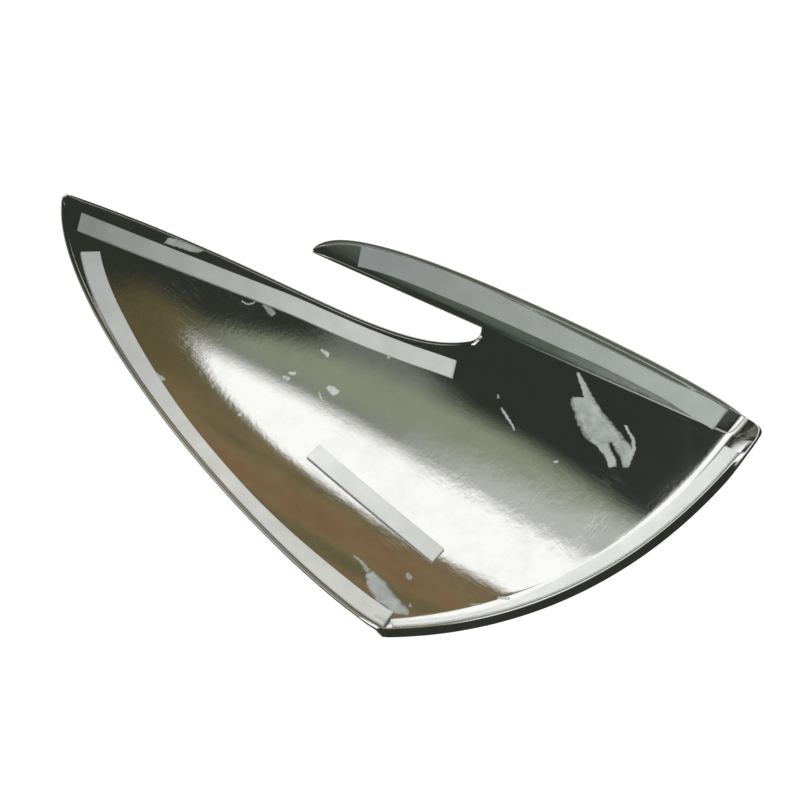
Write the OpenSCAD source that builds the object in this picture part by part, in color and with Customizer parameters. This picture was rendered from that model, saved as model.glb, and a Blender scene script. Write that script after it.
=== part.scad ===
// Stick-on cover for a car's wing mirror, lying on its convex back with the hollow inside up.
// X runs along the cover from its pointed end to its outer end, Y across it towards the arm, Z up.
// The cover is one thin moulded shell. Its inner surface is a shallow bowl, with a crease past which
// the arm turns up, and a flange that turns up round the outer end. A slot for the turn-signal lamp
// runs in between the seam edge and the arm. Strips of foam tape with their liners lie inside.
// The lowest point of the bowl's inside is at x = 0, y = 0 until place() moves the origin.

/* [Bowl] */
// Radius of the bowl along the cover, at its lowest point
bowl_long_r = 435; // [360:5:560]
// Radius of the bowl across the cover, at its lowest point
bowl_cross_r = 125; // [110:5:170]
// Thickness of the moulded wall
wall = 2.2; // [1.6:0.1:2.8]
// Depth of the small flat under the belly that the cover rests on
rest_flat = 0.4; // [0.3:0.05:0.6]

/* [Outline seen from above] */
// Distance of the pointed end behind the lowest point
tip_reach = 143; // [130:0.5:160]
// Distance of the pointed end beside the lowest point
tip_side = 1.5; // [0:0.5:4]
// Width of the blunted pointed end
tip_w = 2.5; // [2:0.5:5]
// Distance of the glass corner ahead of the lowest point
corner_reach = 29.5; // [22:0.5:36]
// Distance of the glass corner beside the lowest point
corner_side = 60; // [54:0.5:68]
// Distance of the outer end ahead of the lowest point, where the crease meets it
end_reach = 92.5; // [86:0.5:100]
// Radius of the outer end in plan
end_r = 165; // [145:1:220]
// Angle at which the glass edge leaves the pointed end
glass_tip_angle = -61; // [-72:1:-50]
// Angle at which the glass edge arrives at the glass corner
glass_corner_angle = 5.5; // [0:0.5:12]
// Angle at which the seam edge leaves the pointed end
seam_tip_angle = 21; // [14:1:26]
// Angle at which the seam edge arrives at the slot's closed end
seam_slot_angle = 42; // [30:1:48]

/* [Lamp slot] */
// Distance of the slot's closed end behind the lowest point
slot_reach = 4.4; // [0:0.2:12]
// Width of the slot at its closed end
slot_end_w = 5.4; // [4:0.1:6.5]
// How far the closed end is rounded out
slot_end_bulge = 1.2; // [0.6:0.1:1.8]
// How far the seam edge stops short of the crease's side of the slot
slot_end_back = 0.3; // [0:0.1:1]
// Length past the slot over which the mesh runs back onto the crease
slot_run = 14; // [10:1:20]

/* [Crease and arm] */
// Distance of the crease beside the lowest point
crease_side = 46; // [42:0.5:50]
// Angle of the crease to the cover's length
crease_angle = 8.6; // [5:0.1:11]
// Radius of the crease in plan
crease_r = 1370; // [900:10:2400]
// Rounding of the crease
crease_round = 1.2; // [0.6:0.1:2.5]
// How much steeper the arm is than the bowl, in mm of rise for each mm across
arm_slope = 0.25; // [0.15:0.05:0.5]
// Distance of the arm's free tip behind the lowest point
arm_reach = 67; // [58:0.5:76]
// Width of the arm's blunted free tip
arm_tip_w = 1; // [0.5:0.1:2]
// Width of the arm at its outer end
arm_end_w = 7; // [6:0.1:9]
// Angle at which the arm's edge leaves its free tip
arm_tip_angle = 83; // [70:1:86]
// Length that the corner between the arm and the outer end is rounded over
arm_corner = 9; // [6:0.5:12]

/* [End flange and edges] */
// Width of the flange at the glass corner
flange_corner_w = 6; // [5:0.5:8]
// Width of the flange at the crease
flange_crease_w = 9; // [8:0.5:11]
// How much steeper the flange is than the bowl, in mm of rise for each mm across
flange_slope = 0.8; // [0.5:0.05:0.95]
// Rounding where the flange leaves the bowl
flange_round = 3.5; // [2:0.25:5]
// Extra thickness of the bead along the outer end, at its middle
bead = 0.4; // [0.2:0.1:1]
// Width of the lip along the edges
lip_w = 0.9; // [0.7:0.05:1.2]
// Height of the lip
lip_h = 0.35; // [0.2:0.05:0.5]
// How far the edges are rounded out
nose = 0.4; // [0.2:0.05:0.6]

/* [Tape strips] */
// Width of the strips in the bowl
tape_w = 6; // [5:0.25:7]
// Width of the strip on the arm
arm_tape_w = 6.75; // [5.5:0.25:7.5]
// Width of the strip along the outer end
end_tape_w = 4.8; // [4:0.2:5.4]
// Thickness of the foam
foam_t = 0.8; // [0.6:0.1:1.2]
// Thickness of the liner on the foam
liner_t = 0.2; // [0.15:0.05:0.3]
// Clearance under the foam, filled by its adhesive
bond_gap = 0.12; // [0.1:0.02:0.2]
// Clearance between foam and liner
liner_gap = 0.02; // [0.02:0.01:0.05]
// Distance of the glass strip from the glass edge
glass_strip_edge = 1.4; // [1.3:0.1:3]
// How much further from that edge it starts near the pointed end
glass_strip_lean = 6; // [0:0.5:8]
// Distance of the seam strip from the seam edge, near the pointed end
seam_strip_near = 4.6; // [4:0.2:7]
// Distance of the seam strip from the slot's closed end, across the cover
seam_strip_far = 7; // [6:0.2:9]
// How far the seam strip runs past the slot's closed end
seam_strip_run = 1; // [0:0.5:3]
// How far the seam strip bows towards the seam edge
seam_strip_bow = 1.6; // [0:0.2:2]
// Distance of the arm strip from the arm's outer edge
arm_strip_edge = 1.2; // [1.2:0.1:2]
// Distance of the end strip from the outer end
end_strip_edge = 1.2; // [1.2:0.1:2]
// Length of the middle strip
middle_strip_l = 55; // [40:1:60]
// Where the middle strip starts, behind the lowest point
middle_strip_x = 26.5; // [20:0.5:34]
// Where the middle strip starts, beside the lowest point
middle_strip_y = 21.5; // [18:0.5:26]
// Angle of the middle strip to the cover's length
middle_strip_angle = -6; // [-12:1:0]

/* [Hidden] */

// Pull of each edge curve at its two ends, as a share of the straight line between them
glass_pull = [0.22, 0.18];
seam_pull = [0.5, 0.2];
arm_pull = [0.13, 0.19];
corner_pull = [0.5, 0.5];
// Angle at which the arm's edge arrives at the outer end
arm_end_angle = -8;

// Stations along the cover, as shares of the way from the pointed end to the outer end
arm_start = 0.33;
slot_bend = 0.57;
slot_stop = 0.6;
// Share of the arm's edge that lies beside the slot
arm_free = 0.49;

// Number of steps of the mesh between those stations, and across the bowl, arm and flange
steps_tip = 11;
steps_slot = 9;
steps_bend = 4;
steps_body = 10;
steps_flange = 5;
steps_bowl = 17;
steps_arm = 4;
steps_strip = 26;

// Plan of the corners
tip = [-tip_reach, -tip_side];
seam_start = tip + [0, tip_w / 2];
glass_corner = [corner_reach, -corner_side];
slot_end = [-slot_reach, crease_at(-slot_reach)];
seam_end = slot_end - [slot_end_back, slot_end_w];
crease_end = [end_reach, crease_at(end_reach)];
arm_tip = [-arm_reach, crease_at(-arm_reach)];
arm_end_x = end_reach - arm_corner;
arm_end = [arm_end_x, crease_at(arm_end_x) + arm_end_w];

// Centre of the outer end's circle, and the angles at which it meets the two corners
end_chord = crease_end - glass_corner;
end_mid = (crease_end + glass_corner) / 2;
end_rise = sqrt(pow(end_r, 2) - pow(norm(end_chord) / 2, 2));
end_c = end_mid + [-end_chord.y, end_chord.x] / norm(end_chord) * end_rise;
end_a0 = bearing(glass_corner - end_c);
end_a1 = bearing(crease_end - end_c);

// Small helpers
function unit(a) = a / norm(a);
function mix(a, b, t) = a + (b - a) * t;
function clamp01(t) = min(1, max(0, t));
function bearing(a) = atan2(a.y, a.x);
function dir(angle) = [cos(angle), sin(angle)];

// A smooth edge that leaves p at angle a and arrives at q at angle b
function edge_curve(p, a, q, b, pull, t) =
    let (c = norm(q - p), p1 = p + dir(a) * c * pull[0], q1 = q - dir(b) * c * pull[1], s = 1 - t)
    s * s * s * p + 3 * s * s * t * p1 + 3 * s * t * t * q1 + t * t * t * q;

// The crease in plan
function crease_at(x) = crease_side + x * tan(crease_angle) - x * x / (2 * crease_r);

// The five edges in plan. Stations v run from 0 at the pointed end to 1 at the outer end.
function glass_edge(v) =
    edge_curve(tip - [0, tip_w / 2], glass_tip_angle, glass_corner, glass_corner_angle, glass_pull, v);
function seam_edge(v) =
    v <= slot_bend
        ? edge_curve(seam_start, seam_tip_angle, seam_end, seam_slot_angle, seam_pull, v / slot_bend)
        : v < slot_stop ? slot_round(bend_share(v)) : past_slot(v);
function crease_edge(v) =
    let (x = mix(-arm_reach, -slot_reach, (v - arm_start) / (slot_bend - arm_start)))
    v <= slot_bend ? [x, crease_at(x)] : v < slot_stop ? slot_round(1 - bend_share(v)) : past_slot(v);
// The slot's rounded end, from the seam to the crease. Bowl and arm meet half way round it.
function slot_round(t) = mix(seam_end, slot_end, t) + [slot_end_bulge * sin(180 * t), 0];
function bend_share(v) = (v - slot_bend) / (slot_stop - slot_bend) / 2;
function past_slot(v) =
    let (
        start = slot_round(0.5),
        x = mix(start.x, end_reach, (v - slot_stop) / (1 - slot_stop)),
        left = max(0, 1 - (x - start.x) / slot_run)
    )
    [x, crease_at(x) - (crease_at(start.x) - start.y) * left * left];
function arm_line(t) =
    edge_curve(arm_tip + [0, arm_tip_w], arm_tip_angle, arm_end, arm_end_angle, arm_pull, t);
function arm_edge(v) =
    arm_line(v < slot_bend
        ? arm_free * (v - arm_start) / (slot_bend - arm_start)
        : mix(arm_free, 1, (v - slot_bend) / (1 - slot_bend)));
function end_edge(u) = end_c + end_r * dir(mix(end_a0, end_a1, u));
function corner_edge(w) = edge_curve(crease_end, end_a1 + 90, arm_end, 180 + arm_end_angle, corner_pull, w);

// Plan of the bowl at share u across and station v, and of the arm at share w across
function bowl_plan(u, v) =
    mix(glass_edge(v), seam_edge(v), u)
    + (end_edge(u) - mix(glass_corner, crease_end, u)) * v * v
    - [4 * u * (1 - u) * tip_w / 8 * pow(1 - v, 12), 0];
function arm_plan(w, v) =
    mix(crease_edge(v), arm_edge(v), w)
    + (corner_edge(w) - mix(crease_end, arm_end, w)) * pow(v, 6);

// Width of the flange beside a point, and the point's distance from the outer end
function flange_w(p) =
    mix(flange_corner_w, flange_crease_w, clamp01((p.y + corner_side) / (crease_end.y + corner_side)));
function end_gap(p) = end_r - norm(p - end_c);

// A rounded turn that rises by slope for each mm past its start
function turn(d, slope, round) = d <= 0 ? 0 : slope * (sqrt(d * d + round * round) - round);

// Height of the inner surface over a point of the plan, and the direction that it faces
function height(p) =
    p.x * p.x / (2 * bowl_long_r) + p.y * p.y / (2 * bowl_cross_r)
    + turn(p.y - crease_at(p.x), arm_slope, crease_round)
    + turn(flange_w(p) - end_gap(p), flange_slope, flange_round);
function facing(p) =
    let (e = 0.3)
    unit([height(p - [e, 0]) - height(p + [e, 0]), height(p - [0, e]) - height(p + [0, e]), 2 * e]);
function on_surface(p, lift = 0) = [p.x, p.y, height(p)] + facing(p) * lift;

// Station at which the bowl's line at share u is at distance d from the outer end
function end_station(u, d, v = 1, tries = 4) =
    tries == 0
        ? v
        : let (e = 0.01, gap = end_gap(bowl_plan(u, v)), fall = (end_gap(bowl_plan(u, v - e)) - gap) / e)
          end_station(u, d, v - (d - gap) / fall, tries - 1);

// Steps of the mesh across the lip: at the edge, at the lip's shoulder and at its foot
lip_shoulder = 0.65;
lip_steps = [0, lip_shoulder * lip_w, lip_w];

// Rows of the mesh: stations along the body, then distances from the outer end
body_rows = [
    for (i = [0 : steps_tip - 1]) arm_start * i / steps_tip,
    for (i = [0 : steps_slot - 1]) mix(arm_start, slot_bend, i / steps_slot),
    for (i = [0 : steps_bend - 1]) mix(slot_bend, slot_stop, i / steps_bend),
    for (i = [0 : steps_body - 1]) mix(slot_stop, 1, i / steps_body),
];
arm_row = steps_tip;
slot_row = steps_tip + steps_slot + steps_bend;
flange_row = len(body_rows);
last_row = flange_row + steps_flange + len(lip_steps) - 1;
function row_gap(j, w) =
    j < flange_row + steps_flange
        ? mix(w, lip_w, (j - flange_row) / steps_flange)
        : lip_steps[last_row - j];
function bowl_station(j, u) =
    let (w = flange_w(bowl_plan(u, 0.97)))
    j >= flange_row ? end_station(u, row_gap(j, w))
    : body_rows[j] <= slot_stop ? body_rows[j]
    : mix(slot_stop, end_station(u, w), (body_rows[j] - slot_stop) / (1 - slot_stop));

// Columns of the mesh: the lip at each side, and even steps between
function columns(steps, wide) =
    let (foot = min(lip_w / wide, 0.2), shoulder = lip_shoulder * foot)
    [0, shoulder, for (i = [0 : steps]) mix(foot, 1 - foot, i / steps), 1 - shoulder, 1];
bowl_cols = steps_bowl + 4;
arm_cols = steps_arm + 4;

// Plan of every point of the mesh, row by row
bowl_points = [
    for (j = [0 : last_row])
        let (v = body_rows[min(j, flange_row - 1)], wide = norm(seam_edge(v) - glass_edge(v)))
        [for (u = columns(steps_bowl, wide)) bowl_plan(u, bowl_station(j, u))]
];
arm_points = [
    for (j = [arm_row : last_row])
        let (v = body_rows[min(j, flange_row - 1)], wide = norm(arm_edge(v) - crease_edge(v)))
        [for (w = columns(steps_arm, wide)) arm_plan(w, bowl_station(j, 1))]
];

// Share of the lip's full height at a point: it runs out towards the slot's closed end
function side_lip(v, stop) = clamp01((stop - v) / 0.05);
function end_lip(j) = j >= last_row - 1 ? 1 : 0;
function bowl_lip(j, i) =
    i <= 1 ? 1
    : i >= bowl_cols - 1 && j < slot_row ? max(end_lip(j), side_lip(body_rows[j], slot_bend))
    : end_lip(j);
function arm_lip(j, k) =
    k >= arm_cols - 1 ? 1
    : k <= 1 && j < slot_row ? side_lip(body_rows[j], slot_bend)
    : end_lip(j);

// Extra thickness of the bead: it swells over the flange and along the outer end
function bead_at(j, i) =
    j < flange_row ? 0 : bead * pow((j - flange_row) / (last_row - flange_row), 2) * sin(180 * i / bowl_cols);

// Inner and outer surface, as one list of points each
function skin(lip_rise, depth) = [
    for (j = [0 : last_row], i = [0 : bowl_cols])
        on_surface(bowl_points[j][i], lip_rise * bowl_lip(j, i) - depth * (wall + bead_at(j, i))),
    for (j = [arm_row : last_row], k = [0 : arm_cols])
        on_surface(arm_points[j - arm_row][k], lip_rise * arm_lip(j, k) - depth * wall),
];
inner_skin = skin(lip_h, 0);
outer_free = skin(0, 1);
// The outer surface ends in a small flat at its lowest point
outer_floor = min([for (p = outer_free) p.z]) + rest_flat;
outer_skin = [for (p = outer_free) [p.x, p.y, max(p.z, outer_floor)]];
skin_size = len(inner_skin);

// Places of the points in those lists. The bowl's last column is the arm's first past the slot.
function bowl_id(j, i) = j * (bowl_cols + 1) + i;
function arm_id(j, k) =
    k == 0 && j >= slot_row
        ? bowl_id(j, bowl_cols)
        : bowl_id(last_row + 1, 0) + (j - arm_row) * (arm_cols + 1) + k;

// The shell's edge, once round: glass edge, outer end, arm, slot, seam edge and pointed end
rim = [
    for (j = [0 : last_row]) bowl_id(j, 0),
    for (i = [1 : bowl_cols]) bowl_id(last_row, i),
    for (k = [1 : arm_cols]) arm_id(last_row, k),
    for (j = [last_row - 1 : -1 : arm_row]) arm_id(j, arm_cols),
    for (k = [arm_cols - 1 : -1 : 0]) arm_id(arm_row, k),
    for (j = [arm_row + 1 : slot_row]) arm_id(j, 0),
    for (j = [slot_row - 1 : -1 : 0]) bowl_id(j, bowl_cols),
    for (i = [bowl_cols - 1 : -1 : 1]) bowl_id(0, i),
];
rim_size = len(rim);

// The edge's rounded nose: two rings of points between the inner and the outer surface
function rim_point(k) = inner_skin[rim[(k + rim_size) % rim_size]];
function rim_out(k) =
    let (along = unit(rim_point(k + 1) - rim_point(k - 1)), down = outer_skin[rim[k]] - rim_point(k))
    unit(cross(down, along));
function nose_ring(depth, out) = [
    for (k = [0 : rim_size - 1])
        let (extra = norm(outer_skin[rim[k]] - rim_point(k)) - wall - lip_h)
        mix(rim_point(k), outer_skin[rim[k]], depth) + rim_out(k) * out * (nose + max(0, extra) / 2)
];

// Triangles that face the hollow, from a grid of point places
function cells(a, b, c, d) = [[a, b, c], [a, c, d]];
skin_faces = [
    for (j = [0 : last_row - 1], i = [0 : bowl_cols - 1])
        each cells(bowl_id(j, i), bowl_id(j, i + 1), bowl_id(j + 1, i + 1), bowl_id(j + 1, i)),
    for (j = [arm_row : last_row - 1], k = [0 : arm_cols - 1])
        each cells(arm_id(j, k), arm_id(j, k + 1), arm_id(j + 1, k + 1), arm_id(j + 1, k)),
];
outer_faces = [for (f = skin_faces) [f[0] + skin_size, f[2] + skin_size, f[1] + skin_size]];
// Bands of triangles down the nose: inner surface, first ring, second ring, outer surface
function ring_id(ring, k) =
    let (n = k % rim_size)
    ring == 0 ? rim[n] : ring == 3 ? rim[n] + skin_size : 2 * skin_size + (ring - 1) * rim_size + n;
nose_faces = [
    for (ring = [0 : 2], k = [0 : rim_size - 1])
        each cells(ring_id(ring, k), ring_id(ring, k + 1), ring_id(ring + 1, k + 1), ring_id(ring + 1, k))
];
shell_points = concat(inner_skin, outer_skin, nose_ring(0.25, 1), nose_ring(0.75, 1));

// The finished cover's origin is the middle of its box, on the surface that it lies on
function low(axis) = min([for (p = shell_points) p[axis]]);
function high(axis) = max([for (p = shell_points) p[axis]]);
origin = [(low(0) + high(0)) / 2, (low(1) + high(1)) / 2, low(2)];
module place() { translate(-origin) children(); }

// A thin strip on the inner surface, between two edges given in plan, from height a to height b
module strip(left, right, a, b) {
    n = len(left);
    points = [
        for (i = [0 : n - 1])
            each [
                on_surface(left[i], a), on_surface(right[i], a),
                on_surface(right[i], b), on_surface(left[i], b),
            ]
    ];
    sides = [
        for (i = [0 : n - 2])
            let (k = 4 * i)
            each concat(
                cells(k + 1, k + 5, k + 4, k), cells(k + 1, k + 2, k + 6, k + 5),
                cells(k + 2, k + 3, k + 7, k + 6), cells(k + 3, k, k + 4, k + 7)
            )
    ];
    polyhedron(points, concat(cells(3, 2, 1, 0), sides, cells(4 * n - 4, 4 * n - 3, 4 * n - 2, 4 * n - 1)));
}
module foam(edges) { strip(edges[0], edges[1], bond_gap, bond_gap + foam_t); }
module liner(edges) {
    low_face = bond_gap + foam_t + liner_gap;
    strip(edges[0], edges[1], low_face, low_face + liner_t);
}

// The point beside a plan curve at distance d to its left, and both long edges of a strip
function beside(curve, t, d) =
    let (e = 0.001, along = unit(curve(t + e) - curve(t - e)))
    curve(t) + d * [-along.y, along.x];
function edges_beside(curve, from, to, d, w, lean = 0) = [
    for (side = [d + w, d])
        [
            for (i = [0 : steps_strip])
                let (t = mix(from, to, i / steps_strip))
                beside(curve, t, side + lean * pow(1 - t, 8))
        ]
];

// Middle line of the strip by the seam: nearly straight, so it stands away from the bowed edge
seam_strip_start = beside(function (v) seam_edge(v), 0.0145, -seam_strip_near - tape_w / 2);
seam_strip_stop = seam_end + [seam_strip_run, -seam_strip_far - tape_w / 2];
function seam_strip_line(t) =
    let (chord = seam_strip_stop - seam_strip_start, bow = seam_strip_bow * 4 * t * (1 - t))
    mix(seam_strip_start, seam_strip_stop, t) + [-chord.y, chord.x] / norm(chord) * bow;
function middle_strip_line(t) =
    [-middle_strip_x, -middle_strip_y] + dir(middle_strip_angle) * middle_strip_l * t;

seam_strip = edges_beside(function (t) seam_strip_line(t), 0, 1, -tape_w / 2, tape_w);
glass_strip =
    edges_beside(function (v) glass_edge(v), 0.125, 0.975, glass_strip_edge, tape_w, glass_strip_lean);
end_strip = edges_beside(function (u) end_edge(u), 0.04, 0.94, end_strip_edge, end_tape_w);
arm_strip = edges_beside(function (t) arm_line(t), 0.194, 0.963, -arm_strip_edge - arm_tape_w, arm_tape_w);
middle_strip = edges_beside(function (t) middle_strip_line(t), 0, 1, -tape_w / 2, tape_w);

module cover_shell() {
    color([0.6, 0.61, 0.57])
        place() polyhedron(shell_points, concat(skin_faces, outer_faces, nose_faces));
}
module foam_seam_edge() { color([0.85, 0.86, 0.84]) place() foam(seam_strip); }
module liner_seam_edge() { color([0.76, 0.78, 0.76]) place() liner(seam_strip); }
module foam_glass_edge() { color([0.85, 0.86, 0.84]) place() foam(glass_strip); }
module liner_glass_edge() { color([0.78, 0.8, 0.78]) place() liner(glass_strip); }
module foam_outer_end() { color([0.85, 0.86, 0.84]) place() foam(end_strip); }
module liner_outer_end() { color([0.88, 0.9, 0.88]) place() liner(end_strip); }
module foam_arm() { color([0.85, 0.86, 0.84]) place() foam(arm_strip); }
module liner_arm() { color([0.6, 0.63, 0.61]) place() liner(arm_strip); }
module foam_middle() { color([0.85, 0.86, 0.84]) place() foam(middle_strip); }
module liner_middle() { color([0.88, 0.9, 0.88]) place() liner(middle_strip); }

cover_shell();
foam_seam_edge();
liner_seam_edge();
foam_glass_edge();
liner_glass_edge();
foam_outer_end();
liner_outer_end();
foam_arm();
liner_arm();
foam_middle();
liner_middle();
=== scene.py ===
import math
import bpy
import numpy as np
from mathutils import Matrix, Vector


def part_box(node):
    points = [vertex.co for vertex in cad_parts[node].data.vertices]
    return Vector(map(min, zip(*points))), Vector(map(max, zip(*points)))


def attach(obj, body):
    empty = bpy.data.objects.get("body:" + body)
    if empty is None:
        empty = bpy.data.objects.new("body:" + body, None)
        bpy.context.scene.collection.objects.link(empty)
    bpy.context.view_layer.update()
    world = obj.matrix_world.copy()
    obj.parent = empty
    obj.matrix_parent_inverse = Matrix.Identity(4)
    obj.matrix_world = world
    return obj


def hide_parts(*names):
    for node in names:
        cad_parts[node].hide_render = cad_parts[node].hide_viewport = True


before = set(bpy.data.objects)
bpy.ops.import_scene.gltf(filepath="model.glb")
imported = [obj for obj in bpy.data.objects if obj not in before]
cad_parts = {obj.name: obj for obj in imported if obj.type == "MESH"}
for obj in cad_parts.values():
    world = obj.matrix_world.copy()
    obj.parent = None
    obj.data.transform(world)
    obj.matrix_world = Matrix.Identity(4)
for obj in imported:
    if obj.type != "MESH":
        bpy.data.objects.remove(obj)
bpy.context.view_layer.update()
print("frame loaded")


# small helpers

def addNode(tree, kind, inputs=None, **settings):
    # adds one node, sets it, fills or links its inputs, and gives back its outputs; a kind that doesn't
    # name its family is a shader node
    node = tree.nodes.new(kind if kind.startswith(("Geometry", "NodeGroup")) else "ShaderNode" + kind)
    for name, value in settings.items():
        setattr(node, name, value)
    pairs = enumerate(inputs) if isinstance(inputs, (list, tuple)) else (inputs or {}).items()
    for key, value in pairs:
        if isinstance(value, bpy.types.NodeSocket):
            tree.links.new(value, node.inputs[key])
        elif value is not None:
            node.inputs[key].default_value = value
    return node.outputs


def linear(hexColour):
    # an sRGB hex colour as linear values
    parts = [int(hexColour[i:i + 2], 16) / 255 for i in (1, 3, 5)]
    parts = [c / 12.92 if c <= 0.04045 else ((c + 0.055) / 1.055) ** 2.4 for c in parts]
    return (*parts, 1.0)


def smooth(t):
    t = np.clip(t, 0, 1)
    return t * t * (3 - 2 * t)


# the cover's plan, in mm: the same lines as the moulded solid
coverPlan = {
    "tipReach": 143, "tipWidth": 2.5, "tipSide": -1.5, "tipBlunt": 0.125, "tipFade": 12,
    "cornerReach": 29.5, "cornerSide": 60,
    "endReach": 92.5, "endRadius": 165,
    "glassAngles": (-61, 5.5), "glassPull": (0.22, 0.18),
    "seamAngles": (21, 42), "seamPull": (0.5, 0.2),
    "slotReach": 4.4, "slotWidth": 5.4, "slotBack": 0.3, "slotBulge": 1.2, "slotRun": 14,
    "creaseSide": 46, "creaseAngle": 8.6, "creaseRadius": 1370,
    "armReach": 67, "armEndWidth": 7, "armCorner": 9, "armTipWidth": 1, "armFree": 0.49,
    "armAngles": (83, -8), "armPull": (0.13, 0.19), "armCornerPull": (0.5, 0.5), "armCornerFade": 6,
    "flangeNear": 6, "flangeFar": 9,
    # shares of the way along the cover: where the arm, the slot's rounded end and the solid part start
    "armStart": 0.33, "slotBend": 0.57, "slotStop": 0.6,
}
pl = coverPlan


def creaseAt(x):
    aside = x * math.tan(math.radians(pl["creaseAngle"]))
    return pl["creaseSide"] + aside - x * x / (2 * pl["creaseRadius"])


def edgeCurve(p, q, angles, pull, t):
    # a cubic that leaves p at the first angle and arrives at q at the second
    p, q = np.array(p, float), np.array(q, float)
    reach = np.linalg.norm(q - p)
    a, b = np.radians(angles)
    p1 = p + np.array([np.cos(a), np.sin(a)]) * reach * pull[0]
    q1 = q - np.array([np.cos(b), np.sin(b)]) * reach * pull[1]
    t = np.asarray(t, float)[..., None]
    s = 1 - t
    return s**3 * p + 3 * s * s * t * p1 + 3 * s * t * t * q1 + t**3 * q


tipPoint = np.array([-pl["tipReach"], pl["tipSide"]])
glassCorner = np.array([pl["cornerReach"], -pl["cornerSide"]])
slotEnd = np.array([-pl["slotReach"], creaseAt(-pl["slotReach"])])
seamEnd = slotEnd - [pl["slotBack"], pl["slotWidth"]]
creaseEnd = np.array([pl["endReach"], creaseAt(pl["endReach"])])
armTip = np.array([-pl["armReach"], creaseAt(-pl["armReach"])])
armEndX = pl["endReach"] - pl["armCorner"]
armEnd = np.array([armEndX, creaseAt(armEndX) + pl["armEndWidth"]])
endChord = creaseEnd - glassCorner
endHalf = np.linalg.norm(endChord) / 2
endAside = np.array([-endChord[1], endChord[0]]) / (2 * endHalf)
endCentre = (creaseEnd + glassCorner) / 2 + endAside * math.sqrt(pl["endRadius"] ** 2 - endHalf**2)
endFrom = math.atan2(*(glassCorner - endCentre)[::-1])
endTo = math.atan2(*(creaseEnd - endCentre)[::-1])


def glassEdge(t):
    return edgeCurve(tipPoint - [0, pl["tipWidth"] / 2], glassCorner, pl["glassAngles"], pl["glassPull"], t)


def slotRound(s):
    # the slot's rounded end, from the seam to the crease
    s = np.asarray(s, float)[..., None]
    bulge = pl["slotBulge"] * np.sin(math.pi * s)
    return seamEnd + (slotEnd - seamEnd) * s + np.concatenate([bulge, 0 * s], axis=-1)


def bendShare(t):
    return np.clip((t - pl["slotBend"]) / (pl["slotStop"] - pl["slotBend"]), 0, 1) / 2


def pastSlot(t):
    start = slotRound(0.5)
    x = start[0] + (pl["endReach"] - start[0]) * (t - pl["slotStop"]) / (1 - pl["slotStop"])
    left = np.clip(1 - (x - start[0]) / pl["slotRun"], 0, 1)
    return np.stack([x, creaseAt(x) - (creaseAt(start[0]) - start[1]) * left * left], axis=-1)


def chooseEdge(t, early, bend):
    wide = t[..., None]
    return np.where(wide <= pl["slotBend"], early, np.where(wide < pl["slotStop"], bend, pastSlot(t)))


def creaseEdge(t):
    t = np.asarray(t, float)
    share = (t - pl["armStart"]) / (pl["slotBend"] - pl["armStart"])
    x = -pl["armReach"] + (pl["armReach"] - pl["slotReach"]) * share
    return chooseEdge(t, np.stack([x, creaseAt(x)], axis=-1), slotRound(1 - bendShare(t)))


def seamEdge(t):
    t = np.asarray(t, float)
    early = edgeCurve(tipPoint + [0, pl["tipWidth"] / 2], seamEnd, pl["seamAngles"], pl["seamPull"],
                      np.clip(t / pl["slotBend"], 0, 1))
    return chooseEdge(t, early, slotRound(bendShare(t)))


def armLine(share):
    return edgeCurve(armTip + [0, pl["armTipWidth"]], armEnd, pl["armAngles"], pl["armPull"], share)


def armEdge(t):
    t = np.asarray(t, float)
    early = pl["armFree"] * (t - pl["armStart"]) / (pl["slotBend"] - pl["armStart"])
    late = pl["armFree"] + (1 - pl["armFree"]) * (t - pl["slotBend"]) / (1 - pl["slotBend"])
    return armLine(np.where(t < pl["slotBend"], early, late))


def endEdge(u):
    a = endFrom + (endTo - endFrom) * np.asarray(u, float)
    return endCentre + pl["endRadius"] * np.stack([np.cos(a), np.sin(a)], axis=-1)


def cornerEdge(w):
    angles = (math.degrees(endTo) + 90, 180 + pl["armAngles"][1])
    return edgeCurve(creaseEnd, armEnd, angles, pl["armCornerPull"], w)


def bowlPlan(u, t):
    u, t = np.broadcast_arrays(np.asarray(u, float), np.asarray(t, float))
    wide, far = u[..., None], t[..., None]
    plan = glassEdge(t) + (seamEdge(t) - glassEdge(t)) * wide
    plan = plan + (endEdge(u) - glassCorner - endChord * wide) * far * far
    blunt = 4 * u * (1 - u) * pl["tipWidth"] * pl["tipBlunt"] * (1 - t) ** pl["tipFade"]
    return plan - np.stack([blunt, 0 * blunt], axis=-1)


def armPlan(w, t):
    w, t = np.broadcast_arrays(np.asarray(w, float), np.asarray(t, float))
    wide, far = w[..., None], t[..., None]
    plan = creaseEdge(t) + (armEdge(t) - creaseEdge(t)) * wide
    return plan + (cornerEdge(w) - creaseEnd - (armEnd - creaseEnd) * wide) * far ** pl["armCornerFade"]


def endGap(p):
    return pl["endRadius"] - np.linalg.norm(p - endCentre, axis=-1)


def flangeWidth(p):
    share = (p[..., 1] + pl["cornerSide"]) / (creaseEnd[1] + pl["cornerSide"])
    return pl["flangeNear"] + (pl["flangeFar"] - pl["flangeNear"]) * np.clip(share, 0, 1)


def endStation(u, gap):
    # how far along each line of the bowl lies at this distance from the outer end, by Newton's steps
    t = np.ones(np.broadcast(u, gap).shape)
    small = 0.01
    for turn in range(6):
        here = endGap(bowlPlan(u, t))
        fall = (endGap(bowlPlan(u, t - small)) - here) / small
        t = t - (gap - here) / fall
    return t


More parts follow.
